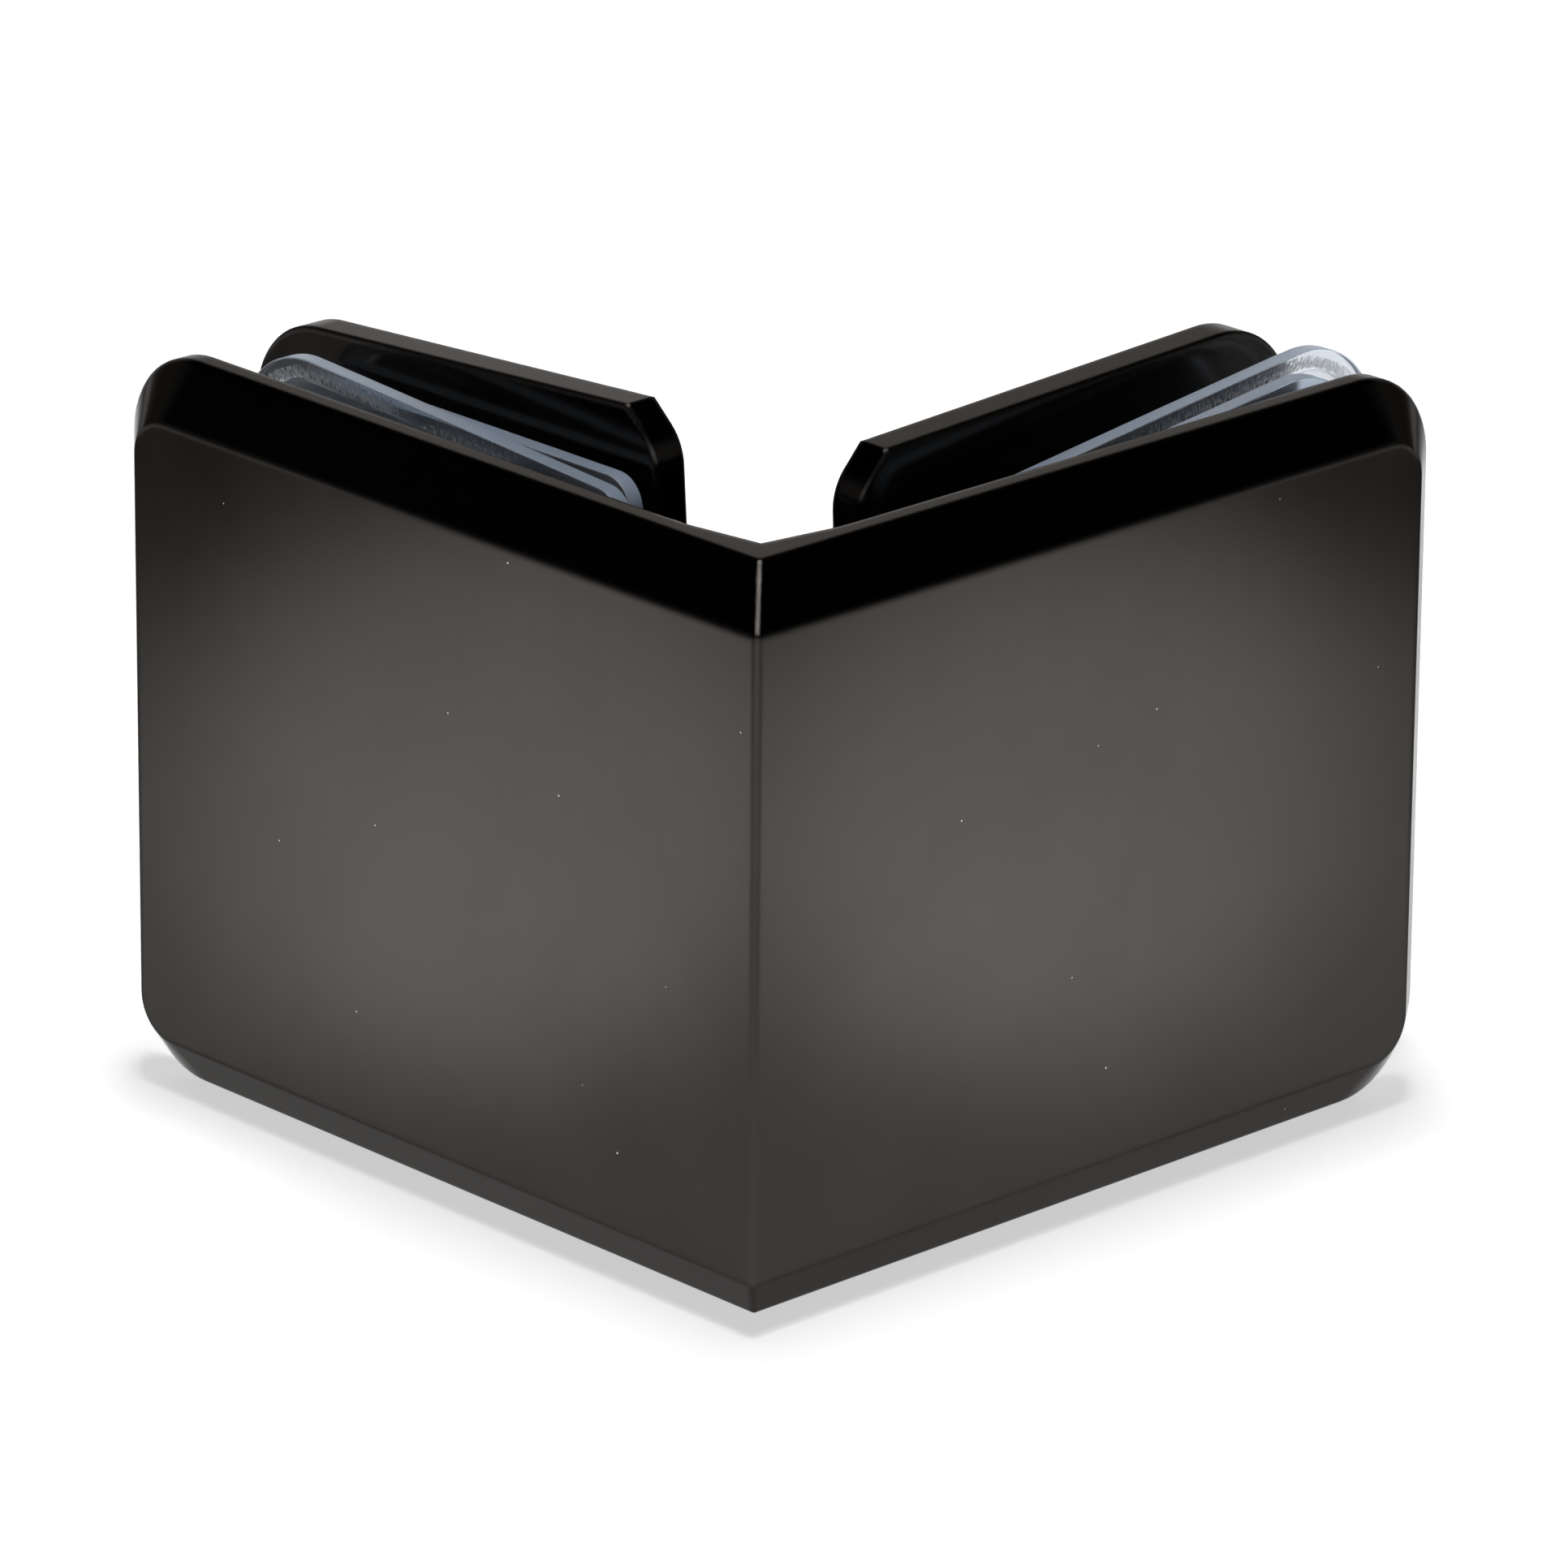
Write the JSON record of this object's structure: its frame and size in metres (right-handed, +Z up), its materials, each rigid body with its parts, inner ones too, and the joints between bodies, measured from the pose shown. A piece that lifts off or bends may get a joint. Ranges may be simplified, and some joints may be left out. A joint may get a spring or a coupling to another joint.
{
  "type": "glass corner clamp",
  "caption": "Square 90 degree corner clamp that joins two glass panels edge to edge, with a bevelled corner body, screw-tightened clamp plates and soft clear gaskets.",
  "frame": {"origin": "on the base, on the vertical line where the two glass seats meet", "axes": "+X along the right wing and +Y along the left wing as seen from outside, +Z up; the room side is +X +Y"},
  "size_m": [0.0693, 0.0642, 0.0525],
  "materials": {
    "body_metal": "polished black nickel plate",
    "plate_metal": "polished black nickel plate",
    "screw_metal": "black-plated steel, turned",
    "clear_sleeve": "clear plastic",
    "clear_vinyl": "clear soft vinyl, slightly frosted"
  },
  "bodies": {
    "corner": {"corner_body": "body_metal"},
    "right_carrier": {"right_sleeve": "clear_sleeve"},
    "right_plate": {"right_clamp_plate": "plate_metal"},
    "right_screw": {"right_screw": "screw_metal"},
    "right_inner_gasket_body": {"right_inner_gasket": "clear_vinyl"},
    "right_outer_gasket_body": {"right_outer_gasket": "clear_vinyl"},
    "left_carrier": {"left_sleeve": "clear_sleeve"},
    "left_plate": {"left_clamp_plate": "plate_metal"},
    "left_screw": {"left_screw": "screw_metal"},
    "left_inner_gasket_body": {"left_inner_gasket": "clear_vinyl"},
    "left_outer_gasket_body": {"left_outer_gasket": "clear_vinyl"}
  },
  "joints": [
    {"name": "right_clamp_travel", "type": "slide", "parent": "corner", "child": "right_carrier", "axis": [0, 1, 0], "range_m": [-0.0005, 0.003]},
    {"name": "right_screw_turn", "type": "hinge", "parent": "right_carrier", "child": "right_screw", "pos_m": [0.0385, 0.0157, 0.0254], "axis": [0, 1, 0], "range_deg": [-180, 1080]},
    {"name": "right_plate_swivel", "type": "hinge", "parent": "right_carrier", "child": "right_plate", "pos_m": [0.0385, 0.0148, 0.02592], "axis": [0, 1, 0], "continuous": true},
    {"name": "right_inner_gasket_swivel", "type": "hinge", "parent": "right_carrier", "child": "right_inner_gasket_body", "pos_m": [0.0385, 0.0056, 0.0254], "axis": [0, 1, 0], "continuous": true},
    {"name": "right_outer_gasket_slide", "type": "slide", "parent": "corner", "child": "right_outer_gasket_body", "axis": [0, 1, 0], "range_m": [-0.0025, 0]},
    {"name": "left_clamp_travel", "type": "slide", "parent": "corner", "child": "left_carrier", "axis": [1, 0, 0], "range_m": [-0.0005, 0.003]},
    {"name": "left_screw_turn", "type": "hinge", "parent": "left_carrier", "child": "left_screw", "pos_m": [0.0157, 0.0385, 0.0254], "axis": [1, 0, 0], "range_deg": [-180, 1080]},
    {"name": "left_plate_swivel", "type": "hinge", "parent": "left_carrier", "child": "left_plate", "pos_m": [0.0148, 0.0385, 0.02622], "axis": [1, 0, 0], "continuous": true},
    {"name": "left_inner_gasket_swivel", "type": "hinge", "parent": "left_carrier", "child": "left_inner_gasket_body", "pos_m": [0.00815, 0.0385, 0.0254], "axis": [1, 0, 0], "continuous": true},
    {"name": "left_outer_gasket_slide", "type": "slide", "parent": "corner", "child": "left_outer_gasket_body", "axis": [1, 0, 0], "range_m": [-0.0051, 0]}
  ],
  "couplings": [
    {"joint": "right_clamp_travel", "follows": "right_screw_turn", "m_per_rad": 0.00015915},
    {"joint": "left_clamp_travel", "follows": "left_screw_turn", "m_per_rad": 0.00015915}
  ]
}
